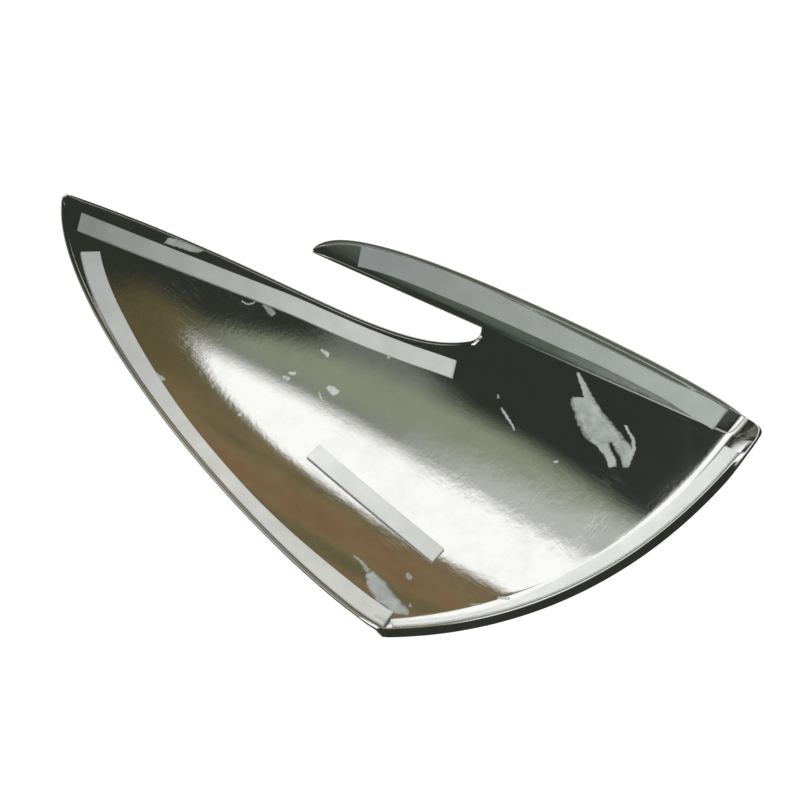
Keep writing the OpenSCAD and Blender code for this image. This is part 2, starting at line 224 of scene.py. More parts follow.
# geometry nodes: a flat plan is laid on the cover's inner surface
surfaceSizes = {
    "bowlLong": 435, "bowlCross": 125,
    "creaseSide": pl["creaseSide"], "creaseTangent": math.tan(math.radians(pl["creaseAngle"])),
    "creaseRadius": pl["creaseRadius"], "armSlope": 0.25, "creaseRound": 1.2,
    "endCentreX": float(endCentre[0]), "endCentreY": float(endCentre[1]), "endRadius": pl["endRadius"],
    "flangeNear": pl["flangeNear"], "flangeFar": pl["flangeFar"],
    "flangeFromY": -pl["cornerSide"], "flangeToY": float(creaseEnd[1]),
    "flangeSlope": 0.8, "flangeRound": 3.5,
}
normalStep = 0.3
metresPerMm = 0.001


def makeHeightGroup():
    # height of the inner surface over a point of the plan: bowl, arm past the crease, flange at the end
    tree = bpy.data.node_groups.new("coverHeight", "GeometryNodeTree")
    for name in ("x", "y", *surfaceSizes):
        tree.interface.new_socket(name=name, in_out="INPUT", socket_type="NodeSocketFloat")
    tree.interface.new_socket(name="height", in_out="OUTPUT", socket_type="NodeSocketFloat")
    known = {socket.name: socket for socket in addNode(tree, "NodeGroupInput")}
    known["width"] = addNode(tree, "MapRange", [
        known[name] for name in ("y", "flangeFromY", "flangeToY", "flangeNear", "flangeFar")], clamp=True)[0]
    rows = [
        ("xx", "MULTIPLY", "x", "x"), ("yy", "MULTIPLY", "y", "y"),
        ("along", "DIVIDE", "xx", "bowlLong"), ("along", "DIVIDE", "along", 2.0),
        ("across", "DIVIDE", "yy", "bowlCross"), ("across", "DIVIDE", "across", 2.0),
        ("height", "ADD", "along", "across"),
        ("crease", "MULTIPLY", "x", "creaseTangent"), ("crease", "ADD", "creaseSide", "crease"),
        ("bow", "DIVIDE", "xx", "creaseRadius"), ("bow", "DIVIDE", "bow", 2.0),
        ("crease", "SUBTRACT", "crease", "bow"), ("pastCrease", "SUBTRACT", "y", "crease"),
        ("dx", "SUBTRACT", "x", "endCentreX"), ("dx", "MULTIPLY", "dx", "dx"),
        ("dy", "SUBTRACT", "y", "endCentreY"), ("dy", "MULTIPLY", "dy", "dy"),
        ("away", "ADD", "dx", "dy"), ("away", "SQRT", "away"),
        ("gap", "SUBTRACT", "endRadius", "away"), ("intoFlange", "SUBTRACT", "width", "gap"),
    ]
    # the arm and the flange each rise by their slope for each mm past their start, which is rounded
    for past, slope, soft in (("pastCrease", "armSlope", "creaseRound"),
                              ("intoFlange", "flangeSlope", "flangeRound")):
        rows += [
            ("d", "MAXIMUM", past, 0.0), ("d", "MULTIPLY", "d", "d"), ("softs", "MULTIPLY", soft, soft),
            ("d", "ADD", "d", "softs"), ("d", "SQRT", "d"), ("d", "SUBTRACT", "d", soft),
            ("rise", "MULTIPLY", slope, "d"), ("height", "ADD", "height", "rise"),
        ]
    for name, operation, *values in rows:
        values = [known.get(value, value) for value in values]
        known[name] = addNode(tree, "Math", values, operation=operation)[0]
    addNode(tree, "NodeGroupOutput", {"height": known["height"]})
    return tree


def makeRaiseTree(heightGroup):
    # each point rises from the plan to the surface, then by its own lift along the surface's normal
    # and by its own reach along the surface
    tree = bpy.data.node_groups.new("raiseOnCover", "GeometryNodeTree")
    tree.is_modifier = True
    sockets = {"Geometry": "Geometry", **{name: "Float" for name in (*surfaceSizes, "step", "flatLevel")},
               "shift": "Vector", "finish": "Material"}
    for name, kind in sockets.items():
        tree.interface.new_socket(name=name, in_out="INPUT", socket_type="NodeSocket" + kind)
    tree.interface.new_socket(name="Geometry", in_out="OUTPUT", socket_type="NodeSocketGeometry")
    given = addNode(tree, "NodeGroupInput")
    spot = addNode(tree, "SeparateXYZ", [addNode(tree, "GeometryNodeInputPosition")[0]])
    # the height at the point and a step away on its four sides
    heights = {}
    for offsets in ((0, 0), (-1, 0), (1, 0), (0, -1), (0, 1)):
        inputs = {name: given[name] for name in surfaceSizes}
        for axis, offset in zip("xy", offsets):
            inputs[axis] = addNode(tree, "Math", [
                given["step"], float(offset), spot[axis.upper()]], operation="MULTIPLY_ADD")[0]
        heights[offsets] = addNode(tree, "GeometryNodeGroup", inputs, node_tree=heightGroup)["height"]
    slopes = [addNode(tree, "Math", [heights[low], heights[high]], operation="SUBTRACT")[0]
              for low, high in (((-1, 0), (1, 0)), ((0, -1), (0, 1)))]
    twice = addNode(tree, "Math", [given["step"], 2.0], operation="MULTIPLY")[0]
    known = {"slopes": addNode(tree, "CombineXYZ", [*slopes, twice])[0],
             "place": addNode(tree, "CombineXYZ", [spot["X"], spot["Y"], heights[0, 0]])[0],
             "shift": given["shift"]}
    for name, kind in (("lift", "FLOAT"), ("reach", "FLOAT_VECTOR")):
        made = addNode(tree, "GeometryNodeInputNamedAttribute", {"Name": name}, data_type=kind)
        known[name] = made["Attribute"]
    for name, operation, *inputs in (
            ("facing", "NORMALIZE", "slopes"), ("rise", "SCALE", "facing", "lift"),
            ("steep", "DOT_PRODUCT", "facing", "reach"), ("sunk", "SCALE", "facing", "steep"),
            ("flat", "SUBTRACT", "reach", "sunk"), ("place", "ADD", "place", "rise"),
            ("place", "ADD", "place", "flat"), ("place", "ADD", "place", "shift")):
        keys = (0, "Scale") if operation == "SCALE" else (0, 1)
        inputs = {key: known[value] for key, value in zip(keys, inputs)}
        made = addNode(tree, "VectorMath", inputs, operation=operation)
        known[name] = made["Value" if operation == "DOT_PRODUCT" else "Vector"]
    # nothing goes below the level of the flat that the cover rests on
    parts = addNode(tree, "SeparateXYZ", [known["place"]])
    level = addNode(tree, "Math", [parts["Z"], given["flatLevel"]], operation="MAXIMUM")[0]
    total = addNode(tree, "CombineXYZ", [parts["X"], parts["Y"], level])[0]
    total = addNode(tree, "VectorMath", {"Vector": total, "Scale": metresPerMm}, operation="SCALE")[0]
    shaped = given["Geometry"]
    for kind, inputs in (("SetPosition", {"Position": total}), ("SetShadeSmooth", {}),
                         ("RealizeInstances", {}), ("SetMaterial", {"Material": given["finish"]})):
        shaped = addNode(tree, "GeometryNode" + kind, {"Geometry": shaped, **inputs})[0]
    addNode(tree, "NodeGroupOutput", {"Geometry": shaped})
    return tree


raiseTree = makeRaiseTree(makeHeightGroup())
# both are set below, once it is known where model.glb puts the part
shift = Vector((0, 0, 0))
flatLevel = -1000.0


def raisePiece(name, points, faces, lifts, reaches, material, uv):
    # a flat mesh in the plan goes through the tree and comes back as a plain mesh
    mesh = bpy.data.meshes.new(name + "Plan")
    flat = np.column_stack([points, np.zeros(len(points))])
    mesh.from_pydata(flat.tolist(), [], [list(map(int, f))[::-1] for f in faces])
    mesh.attributes.new("lift", "FLOAT", "POINT").data.foreach_set("value", np.asarray(lifts, np.float32))
    wide = np.column_stack([reaches, np.zeros(len(points))]).astype(np.float32)
    mesh.attributes.new("reach", "FLOAT_VECTOR", "POINT").data.foreach_set("vector", wide.ravel())
    corner = np.zeros(len(mesh.loops), np.int32)
    mesh.loops.foreach_get("vertex_index", corner)
    mesh.uv_layers.new(name="along").data.foreach_set("uv", np.asarray(uv, np.float32)[corner].ravel())
    flatPiece = bpy.data.objects.new(name + "Plan", mesh)
    bpy.context.scene.collection.objects.link(flatPiece)
    modifier = flatPiece.modifiers.new("raise", "NODES")
    modifier.node_group = raiseTree
    values = dict(surfaceSizes, step=normalStep, shift=shift, flatLevel=flatLevel, finish=material)
    for item in raiseTree.interface.items_tree:
        if item.in_out == "INPUT" and item.name in values:
            value = values[item.name]
            modifier[item.identifier] = float(value) if isinstance(value, (int, float)) else value
    shown = flatPiece.evaluated_get(bpy.context.evaluated_depsgraph_get())
    solid = bpy.data.meshes.new_from_object(shown)
    solid.name = name
    bpy.data.objects.remove(flatPiece)
    for spare in ("lift", "reach"):
        if spare in solid.attributes:
            solid.attributes.remove(solid.attributes[spare])
    piece = bpy.data.objects.new(name, solid)
    bpy.context.scene.collection.objects.link(piece)
    return piece


def placesOf(piece):
    places = np.zeros(len(piece.data.vertices) * 3)
    piece.data.vertices.foreach_get("co", places)
    return places.reshape(-1, 3)


# the shell's points in plan
shellDetail = {
    "tipRows": 56, "slotRows": 44, "bendRows": 10, "bodyRows": 64, "flangeRows": 22,
    "bowlColumns": 84, "armColumns": 22,
    "wall": 2.2, "bead": 0.4, "nose": 0.345,
    "lipWidth": 1.7, "lipHeight": 0.34, "lipShoulder": 0.6, "lipMost": 0.2, "lipRun": 0.05, "armLip": 0.35,
    "rollWidth": 1.3, "rollDepth": 2.3, "rollFade": 0.12, "rollSoft": 0.01,
    "lipFeet": (0, 0.2, 0.4, 0.6, 0.7, 0.8, 0.9, 1.0),
    "noseDepths": (0.1, 0.25, 0.42, 0.58, 0.75, 0.9),
    "flangeProbe": 0.97,
}
sh = shellDetail


def lipColumns(steps, wide):
    # shares across a row: the lip's points at each side and even steps between
    foot = np.minimum(sh["lipWidth"] / wide, sh["lipMost"])
    near = [foot * f for f in sh["lipFeet"][:-1]]
    even = [foot + (1 - 2 * foot) * i / steps for i in range(steps + 1)]
    far = [1 - foot * f for f in sh["lipFeet"][:-1]][::-1]
    return np.stack(near + even + far, axis=-1)


def lipProfile(distance):
    # full height at the edge, rounded shoulder, down to nothing at the lip's foot
    share = distance / sh["lipWidth"]
    return sh["lipHeight"] * (1 - smooth((share - sh["lipShoulder"]) / (1 - sh["lipShoulder"])))


def rollProfile(distance, u):
    # the outer end's edge is bevelled outwards, with a rounded crest, and fades out towards the arm
    share = np.clip(1 - distance / sh["rollWidth"], 0, 1)
    fall = np.sqrt(share * share + sh["rollSoft"]) - math.sqrt(sh["rollSoft"])
    return -sh["rollDepth"] * fall * smooth((1 - u) / sh["rollFade"])


def makeShell(material):
    stations = np.concatenate([
        pl["armStart"] * np.arange(sh["tipRows"]) / sh["tipRows"],
        pl["armStart"] + (pl["slotBend"] - pl["armStart"]) * np.arange(sh["slotRows"]) / sh["slotRows"],
        pl["slotBend"] + (pl["slotStop"] - pl["slotBend"]) * np.arange(sh["bendRows"]) / sh["bendRows"],
        pl["slotStop"] + (1 - pl["slotStop"]) * np.arange(sh["bodyRows"]) / sh["bodyRows"]])
    armRow = sh["tipRows"]
    slotRow = sh["tipRows"] + sh["slotRows"] + sh["bendRows"]
    flangeRow = len(stations)
    feet = len(sh["lipFeet"])
    lastRow = flangeRow + sh["flangeRows"] + feet - 1
    rows = lastRow + 1
    station = stations[np.minimum(np.arange(rows), flangeRow - 1)]

    def endDistance(row, width):
        if row < flangeRow + sh["flangeRows"]:
            return width + (sh["lipWidth"] - width) * (row - flangeRow) / sh["flangeRows"]
        return np.full_like(width, sh["lipWidth"] * sh["lipFeet"][lastRow - row])

    def bowlStation(row, u):
        width = flangeWidth(bowlPlan(u, sh["flangeProbe"]))
        if row >= flangeRow:
            return endStation(u, endDistance(row, width))
        if stations[row] <= pl["slotStop"]:
            return np.full_like(u, stations[row])
        share = (stations[row] - pl["slotStop"]) / (1 - pl["slotStop"])
        return pl["slotStop"] + (endStation(u, width) - pl["slotStop"]) * share

    bowlWide = np.linalg.norm(seamEdge(station) - glassEdge(station), axis=-1)
    bowlShares = lipColumns(sh["bowlColumns"], bowlWide)
    armWide = np.linalg.norm(armEdge(station[armRow:]) - creaseEdge(station[armRow:]), axis=-1)
    armShares = lipColumns(sh["armColumns"], armWide)
    bowlLast, armLast = bowlShares.shape[1] - 1, armShares.shape[1] - 1

    ids, points, lips, beads = {}, [], [], []

    def sideRun(row, stop):
        # the lips beside the slot run out before its closed end
        return float(np.clip((stop - stations[row]) / sh["lipRun"], 0, 1)) if row < flangeRow else 0.0

    for row in range(rows):
        plan = bowlPlan(bowlShares[row], bowlStation(row, bowlShares[row]))
        rolled = rollProfile(endGap(plan), bowlShares[row]) if row >= flangeRow else 0 * plan[:, 0]
        for i, spot in enumerate(plan):
            ids["bowl", row, i] = len(points)
            points.append(spot)
            rise = 0.0
            if row == 0:
                rise = sh["lipHeight"]
            if i < feet:
                rise = max(rise, lipProfile(sh["lipWidth"] * sh["lipFeet"][i]))
            if i > bowlLast - feet and row < slotRow:
                side = lipProfile(sh["lipWidth"] * sh["lipFeet"][bowlLast - i])
                rise = max(rise, side * sideRun(row, pl["slotBend"]))
            lips.append(rise + rolled[i])
            swell = max(0, row - flangeRow) / (lastRow - flangeRow)
            beads.append(sh["bead"] * swell**2 * math.sin(math.pi * i / bowlLast))
    for row in range(armRow, rows):
        shares = armShares[row - armRow]
        plan = armPlan(shares, bowlStation(row, np.ones(1))[0])
        for k, spot in enumerate(plan):
            if k == 0 and row >= slotRow:
                ids["arm", row, 0] = ids["bowl", row, bowlLast]
                continue
            ids["arm", row, k] = len(points)
            points.append(spot)
            rise = 0.0
            if k > armLast - feet:
                rise = max(rise, lipProfile(sh["lipWidth"] * sh["lipFeet"][armLast - k]))
            if k < feet and row < slotRow:
                side = sh["armLip"] * lipProfile(sh["lipWidth"] * sh["lipFeet"][k])
                rise = max(rise, side * sideRun(row, pl["slotBend"]))
            lips.append(rise)
            beads.append(0.0)

    points, lips, beads = np.array(points), np.array(lips), np.array(beads)
    size = len(points)
    inner = []
    for side, firstRow, last in (("bowl", 0, bowlLast), ("arm", armRow, armLast)):
        for row in range(firstRow, rows - 1):
            for i in range(last):
                inner.append([ids[side, row, i], ids[side, row, i + 1],
                              ids[side, row + 1, i + 1], ids[side, row + 1, i]])

    # the edge, once round, and the rings of its rounded nose
    rim = [ids["bowl", row, 0] for row in range(rows)]
    rim += [ids["bowl", lastRow, i] for i in range(1, bowlLast + 1)]
    rim += [ids["arm", lastRow, k] for k in range(1, armLast + 1)]
    rim += [ids["arm", row, armLast] for row in range(lastRow - 1, armRow - 1, -1)]
    rim += [ids["arm", armRow, k] for k in range(armLast - 1, -1, -1)]
    rim += [ids["arm", row, 0] for row in range(armRow + 1, slotRow + 1)]
    rim += [ids["bowl", row, bowlLast] for row in range(slotRow - 1, -1, -1)]
    rim += [ids["bowl", 0, i] for i in range(bowlLast - 1, 0, -1)]
    rim = np.array(rim)
    edge = points[rim]
    along = np.roll(edge, -1, axis=0) - np.roll(edge, 1, axis=0)
    out = np.column_stack([along[:, 1], -along[:, 0]])
    out = out / np.linalg.norm(out, axis=1)[:, None]
    under = -(sh["wall"] + beads)
    thick = np.minimum(1, (lips - under)[rim] / sh["wall"])
    allPoints, lifts, reaches = [points, points], [lips, under], [np.zeros((2 * size, 2))]
    for depth in sh["noseDepths"]:
        allPoints.append(edge)
        lifts.append(lips[rim] * (1 - depth) + under[rim] * depth)
        bulge = (sh["nose"] + beads[rim] / 2) * thick * math.sqrt(math.sin(math.pi * depth))
        reaches.append(out * bulge[:, None])
    faces = list(inner)
    faces += [[a + size, d + size, c + size, b + size] for a, b, c, d in inner]
    rings = [rim] + [2 * size + n * len(rim) + np.arange(len(rim)) for n in range(len(sh["noseDepths"]))]
    rings.append(rim + size)
    for upper, lower in zip(rings, rings[1:]):
        faces += np.column_stack([upper, np.roll(upper, -1), np.roll(lower, -1), lower]).tolist()
    allPoints = np.concatenate(allPoints)
    piece = raisePiece("coverShell", allPoints, faces, np.concatenate(lifts), np.concatenate(reaches),
                       material, allPoints)
    # the finer mesh passes the CAD shell's own box by microns, and is held inside it
    piece.data.vertices.foreach_set("co", np.clip(placesOf(piece), *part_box("cover_shell")).ravel())
    return piece


# tape: foam with its liner on top, in mm
layers = {
    "foam": 0.8, "liner": 0.2, "bondGap": 0.12, "linerGap": 0.02, "steps": 130, "slantReach": 0.3,
    "foamColumns": 8, "linerColumns": 14, "foamSoft": 0.12, "linerSoft": 0.1,
    "shoulder": 0.3, "shoulderLevels": (0.55, 0.86), "cutLevel": 0.5,
}
# a strip's own span is a part of the curve that it follows, and its other spans are parts of the strip
tapes = {
    "seam_edge": {"span": (0.011, 1), "wide": 6, "slant": (-0.005, 0.007), "from": 0.0145, "fromSide": 4.6,
                  "toSide": 7, "past": 1, "bow": 1.6, "sag": 1.3, "sagSpan": (0.52, 0.78),
                  "back": 0.52, "backSpan": (0.85, 1)},
    "glass_edge": {"span": (0.137, 0.990), "wide": 6, "slant": (0.008, 0), "edge": 1.4,
                   "lean": 8.2, "leanFade": (0.863, 0.015), "leanPower": 8,
                   "narrow": 1.5, "narrowSpans": ((0.15, 0.45), (0.55, 0.85))},
    "outer_end": {"span": (0.022, 0.965), "wide": 4.6, "edge": 1.55,
                  "narrow": 3.2, "narrowSpan": (0.2, 0.55)},
    "arm": {"span": (0.196, 0.963), "wide": 6.75, "edge": 1.2, "startNarrow": 0.7, "startSpan": (0, 0.3),
            "pinch": 0.5, "pinchSpans": ((0.5, 0.65), (0.8, 0.92)),
            "dip": 1.2, "dipSpans": ((0.3, 0.6), (0.78, 0.95))},
    "middle": {"span": (0, 1), "wide": 6, "long": 55, "at": (-26.5, -21.5), "angle": -6},
}
seamTape, glassTape, endTape, armTape, middleTape = tapes.values()
stripShare = np.arange(layers["steps"] + 1) / layers["steps"]


def beside(curve, t, distance):
    # points at this distance to the left of a plan curve
    t = np.asarray(t, float)
    along = curve(t + 0.001) - curve(t - 0.001)
    along = along / np.linalg.norm(along, axis=-1)[..., None]
    return curve(t) + np.asarray(distance)[..., None] * np.stack([-along[..., 1], along[..., 0]], axis=-1)


def ramp(value, low, high):
    # 0 before low, 1 after high
    return smooth((value - low) / (high - low))


def hump(rise, fall):
    # 1 between two spans of a strip, and 0 outside them
    return ramp(stripShare, *rise) * (1 - ramp(stripShare, *fall))


def stripEdges(curve, span, near, wide, slant=(0, 0)):
    # slant moves the far corners of the two cut ends along the curve
    t = span[0] + (span[1] - span[0]) * stripShare
    reach = layers["slantReach"]
    far = t + slant[0] * (1 - ramp(stripShare, 0, reach)) - slant[1] * ramp(stripShare, 1 - reach, 1)
    return beside(curve, far, near + wide), beside(curve, t, near)


seamFrom = beside(seamEdge, seamTape["from"], -seamTape["fromSide"] - seamTape["wide"] / 2)
seamTo = seamEnd + [seamTape["past"], -seamTape["toSide"] - seamTape["wide"] / 2]
seamSide = np.array([seamFrom[1] - seamTo[1], seamTo[0] - seamFrom[0]]) / np.linalg.norm(seamTo - seamFrom)


def seamStripLine(t):
    t = np.asarray(t, float)[..., None]
    aside = seamTape["bow"] * 4 * t * (1 - t) - seamTape["sag"] * ramp(t, *seamTape["sagSpan"])
    aside = aside + seamTape["back"] * ramp(t, *seamTape["backSpan"])
    return seamFrom + (seamTo - seamFrom) * t + seamSide * aside


def middleStripLine(t):
    turn = math.radians(middleTape["angle"])
    ahead = np.array([math.cos(turn), math.sin(turn)]) * middleTape["long"]
    return np.array(middleTape["at"]) + ahead * np.asarray(t, float)[..., None]


lean = np.linspace(*glassTape["leanFade"], layers["steps"] + 1) ** glassTape["leanPower"]
glassNear = glassTape["edge"] + glassTape["lean"] * lean
glassWide = glassTape["wide"] - glassTape["narrow"] * hump(*glassTape["narrowSpans"])
endWide = endTape["wide"] - endTape["narrow"] * (1 - ramp(stripShare, *endTape["narrowSpan"]))
armNear = armTape["startNarrow"] * (1 - ramp(stripShare, *armTape["startSpan"]))
armNear = armNear - armTape["edge"] - armTape["wide"] + armTape["pinch"] * hump(*armTape["pinchSpans"])
armFar = -armTape["edge"] - armTape["dip"] * hump(*armTape["dipSpans"])
strips = {
    "seam_edge": stripEdges(seamStripLine, seamTape["span"], -seamTape["wide"] / 2, seamTape["wide"],
                            seamTape["slant"]),
    "glass_edge": stripEdges(glassEdge, glassTape["span"], glassNear, glassWide, glassTape["slant"]),
    "outer_end": stripEdges(endEdge, endTape["span"], endTape["edge"], endWide),
    "arm": stripEdges(armLine, armTape["span"], armNear, armFar - armNear),
    "middle": stripEdges(middleStripLine, middleTape["span"], -middleTape["wide"] / 2, middleTape["wide"]),
}


def makeStrip(name, edges, low, high, columns, soft, material, shares=False):
    # a closed strip between two heights, its upper edges rounded by a row of points each
    left, right = edges
    span = np.cumsum(np.r_[0, np.linalg.norm(np.diff((left + right) / 2, axis=0), axis=1)])
    wide = np.linalg.norm(left - right, axis=1).mean()
    shoulder = soft * layers["shoulder"]
    inset = np.array([0, 0, shoulder, soft, *np.linspace(soft, wide - soft, columns)[1:-1],
                      wide - soft, wide - shoulder, wide, wide]) / wide
    rising = [0, *layers["shoulderLevels"]]
    levels = [*rising, *[1] * columns, *rising[::-1]]
    points, lifts, uv = [], [], []
    last, across = len(left) - 1, len(inset)
    for i in range(last + 1):
        ends = layers["cutLevel"] if i in (0, last) else 1
        for part, level in zip(inset, levels):
            points.append(left[i] + (right[i] - left[i]) * part)
            lifts.append(low + (high - low) * level * ends)
            uv.append((span[i] / span[-1], part) if shares else (span[i], part * wide))
    faces = []
    for i in range(last):
        for k in range(across):
            a, b = i * across + k, i * across + (k + 1) % across
            faces.append([a, a + across, b + across, b])
    faces.append(list(range(across)))
    faces.append([last * across + k for k in range(across)][::-1])
    return raisePiece(name, np.array(points), faces, lifts, np.zeros((len(points), 2)), material, uv)


# materials

def startMaterial(name):
    material = bpy.data.materials.new(name)
    material.use_nodes = True
    tree = material.node_tree
    tree.nodes.clear()
    return material, tree


def finishMaterial(tree, shader):
    addNode(tree, "OutputMaterial", {"Surface": shader})


chromeLook = {
    "clean": "#f4f4f1", "dusty": "#c9cac4", "roughness": 0.055,
    # what each pattern adds to the roughness, and how deep it goes, in metres
    "rougher": {"worn": 0.16, "dust": 0.06, "stroke": 0.08},
    "depths": {"wave": 0.00012, "ripple": 0.000009, "worn": 0.0000035, "stroke": 0.000045},
    "rubbedAt": (0.066, 0.001, 0.004), "rubbedTurn": (0, 0, 0.10), "rubbedSize": (0.050, 0.022, 0.05),
}


def makeChrome():
    # bright chrome plate on moulded plastic: a clear mirror, a little grey, slightly wavy as thin plated
    # mouldings are, with hairline scuffs that catch the light and a faint dusty film
    look = chromeLook
    material, tree = startMaterial("chromePlatedPlastic")
    place = addNode(tree, "TexCoord")["Object"]
    # fine scuffs are noise pulled out along the cover, about 0.3 mm by 6 mm, and strokes go across it
    turned = addNode(tree, "Mapping", {"Vector": place, "Rotation": (0, 0, 0.7),
                                       "Scale": (160, 2600, 160)})[0]
    across = addNode(tree, "Mapping", {"Vector": place, "Scale": (520, 210, 260)})[0]
    # each pattern's scale, detail, roughness and distortion; scuffs gather in patches of a few centimetres
    made = {}
    for name, vector, *values in (
            ("scuff", turned, 1.0, 3.0, 0.6), ("patch", place, 38.0, 2.0), ("cloud", place, 130.0, 3.0),
            ("stroke", across, 1.0, 4.0, 0.6, 1.2), ("dust", place, 90.0, 6.0, 0.65),
            ("wave", place, 26.0, 1.0), ("ripple", place, 620.0, 3.0, 0.6)):
        inputs = dict(zip(("Scale", "Detail", "Roughness", "Distortion"), values))
        made[name] = addNode(tree, "TexNoise", {"Vector": vector, **inputs})[0]
    for name, *span in (("scuff", 0.50, 0.78, 0.0, 1.0), ("patch", 0.48, 0.70, 0.0, 1.0),
                        ("cloud", 0.38, 0.62, 0.15, 1.0), ("dust", 0.45, 0.80, 0.0, 0.35)):
        made[name] = addNode(tree, "MapRange", [made[name], *span])[0]
    # one rubbed place below the lamp slot, with short strokes across the cover
    about = addNode(tree, "Mapping", {
        "Vector": place, "Location": look["rubbedAt"], "Rotation": look["rubbedTurn"],
        "Scale": look["rubbedSize"]}, vector_type="TEXTURE")[0]
    rubbed = addNode(tree, "TexGradient", [about], gradient_type="SPHERICAL")[1]
    made["rubbed"] = addNode(tree, "MapRange", [rubbed, 0.0, 0.55, 0.0, 1.0],
                             interpolation_type="SMOOTHSTEP")[0]
    for name, one, other in (("worn", "scuff", "patch"), ("rubbed", "rubbed", "cloud"),
                             ("stroke", "stroke", "rubbed")):
        made[name] = addNode(tree, "Math", [made[one], made[other]], operation="MULTIPLY")[0]
    rough = look["roughness"]
    for name, more in look["rougher"].items():
        rough = addNode(tree, "Math", [made[name], more, rough], operation="MULTIPLY_ADD")[0]
    bump = None
    for name, depth in look["depths"].items():
        bump = addNode(tree, "Bump", {"Height": made[name], "Strength": 1.0,
                                      "Distance": depth, "Normal": bump})[0]
    colour = addNode(tree, "Mix", {
        0: made["dust"], 6: linear(look["clean"]), 7: linear(look["dusty"])}, data_type="RGBA")[2]
    shader = addNode(tree, "BsdfPrincipled", {
        "Base Color": colour, "Metallic": 1.0, "Roughness": rough, "Normal": bump})[0]
    finishMaterial(tree, shader)
    return material


def makeFoam():
    # white closed-cell foam: soft, matt, with fine pores along the cut edge
    material, tree = startMaterial("closedCellFoam")
    place = addNode(tree, "TexCoord")["Object"]
    pores = addNode(tree, "TexVoronoi", {"Vector": place, "Scale": 4200.0}, feature="F1")[0]
    tint = addNode(tree, "MapRange", [pores, 0.1, 0.7, 0.0, 1.0])[0]
    colour = addNode(tree, "Mix", {0: tint, 6: linear("#8f918c"), 7: linear("#d9dad5")}, data_type="RGBA")[2]
    bump = addNode(tree, "Bump", {"Height": pores, "Strength": 0.6, "Distance": 0.00008})[0]
    shader = addNode(tree, "BsdfPrincipled", {"Base Color": colour, "Roughness": 0.85, "Normal": bump})[0]
    finishMaterial(tree, shader)
    return material


def makeLiner(name, near, far, shadingFromX, shadingToX):
    # siliconed paper release liner: pale grey, satin, with fine lengthwise fibres and faint handling marks;
    # its colour from near to far along x is painted light and shade, lighter where the strip faces the light
    # and darker where it faces away
    material, tree = startMaterial(name)
    place = addNode(tree, "TexCoord")["Object"]
    along = addNode(tree, "UVMap", uv_map="along")[0]
    spot = addNode(tree, "SeparateXYZ", [place])
    share = addNode(tree, "MapRange", [spot["X"], shadingFromX, shadingToX, 0.0, 1.0])[0]
    # painted light and shade: the paper's colour runs from near to far along x, as the strip turns towards
    # or away from the light
    plain = addNode(tree, "Mix", {0: share, 6: linear(near), 7: linear(far)}, data_type="RGBA")[2]
    fine = addNode(tree, "Mapping", {"Vector": along, "Scale": (0.5, 9, 1)})[0]
    fibre = addNode(tree, "TexNoise", {"Vector": fine, "Scale": 1.0, "Detail": 4.0})[0]
    blot = addNode(tree, "TexNoise", {"Vector": place, "Scale": 130.0, "Detail": 5.0})[0]
    blot = addNode(tree, "MapRange", [blot, 0.3, 0.75, 0.90, 1.05])[0]
    streak = addNode(tree, "MapRange", [fibre, 0.3, 0.7, 0.965, 1.03])[0]
    both = addNode(tree, "Math", [blot, streak], operation="MULTIPLY")[0]
    colour = addNode(tree, "VectorMath", {"Vector": plain, "Scale": both}, operation="SCALE")[0]
    bump = addNode(tree, "Bump", {"Height": fibre, "Strength": 0.35, "Distance": 0.00004})[0]
    shader = addNode(tree, "BsdfPrincipled", {"Base Color": colour, "Roughness": 0.48, "Normal": bump})[0]
    finishMaterial(tree, shader)
    return material


def makeResidue(name, near, far, dense, grain, fade=None):
    # a dried film of adhesive: pale and uneven, with ragged edges, and where it is thin the chrome shows
    material, tree = startMaterial(name)
    place = addNode(tree, "TexCoord")["Object"]
    along = addNode(tree, "UVMap", uv_map="along")[0]
    away = addNode(tree, "VectorMath", [(1, 1, 1), along], operation="SUBTRACT")[0]
    middle = addNode(tree, "VectorMath", [along, away], operation="MULTIPLY")[0]
    middle = addNode(tree, "SeparateXYZ", [middle])
    body = addNode(tree, "TexNoise", {"Vector": place, "Scale": grain, "Detail": 6.0, "Roughness": 0.7})[0]
    cloud = addNode(tree, "TexNoise", {"Vector": place, "Scale": grain * 0.38, "Detail": 4.0})[0]
    mottle = addNode(tree, "Math", [body, 0.4, 0.0], operation="MULTIPLY_ADD")[0]
    mottle = addNode(tree, "Math", [cloud, 0.6, mottle], operation="MULTIPLY_ADD")[0]
    share = addNode(tree, "MapRange", [mottle, 0.40, 0.60, 0.0, 1.0])[0]
    colour = addNode(tree, "Mix", {0: share, 6: linear(near), 7: linear(far)}, data_type="RGBA")[2]
    bump = addNode(tree, "Bump", {"Height": body, "Strength": 0.5, "Distance": 0.00005})[0]
    film = addNode(tree, "BsdfPrincipled", {"Base Color": colour, "Roughness": 0.42, "Normal": bump})[0]
    ends = addNode(tree, "Math", [middle["X"], 3.0], operation="MULTIPLY")[0]
    edge = addNode(tree, "Math", [middle["Y"], ends], operation="MINIMUM")[0]
    edge = addNode(tree, "Math", [body, 0.30, edge], operation="MULTIPLY_ADD")[0]
    cover = addNode(tree, "MapRange", [edge, 0.15, 0.30, 0.0, 1.0])[0]
    worn = addNode(tree, "MapRange", [mottle, 0.58, 0.42, dense, 1.0])[0]
    cover = addNode(tree, "Math", [cover, worn], operation="MULTIPLY")[0]
    if fade:
        spot = addNode(tree, "SeparateXYZ", [place])
        near = addNode(tree, "MapRange", [spot["X"], *fade, 0.0, 1.0])[0]
        cover = addNode(tree, "Math", [cover, near], operation="MULTIPLY")[0]
    clear = addNode(tree, "BsdfTransparent")[0]
    finishMaterial(tree, addNode(tree, "MixShader", [cover, clear, film])[0])
    return material


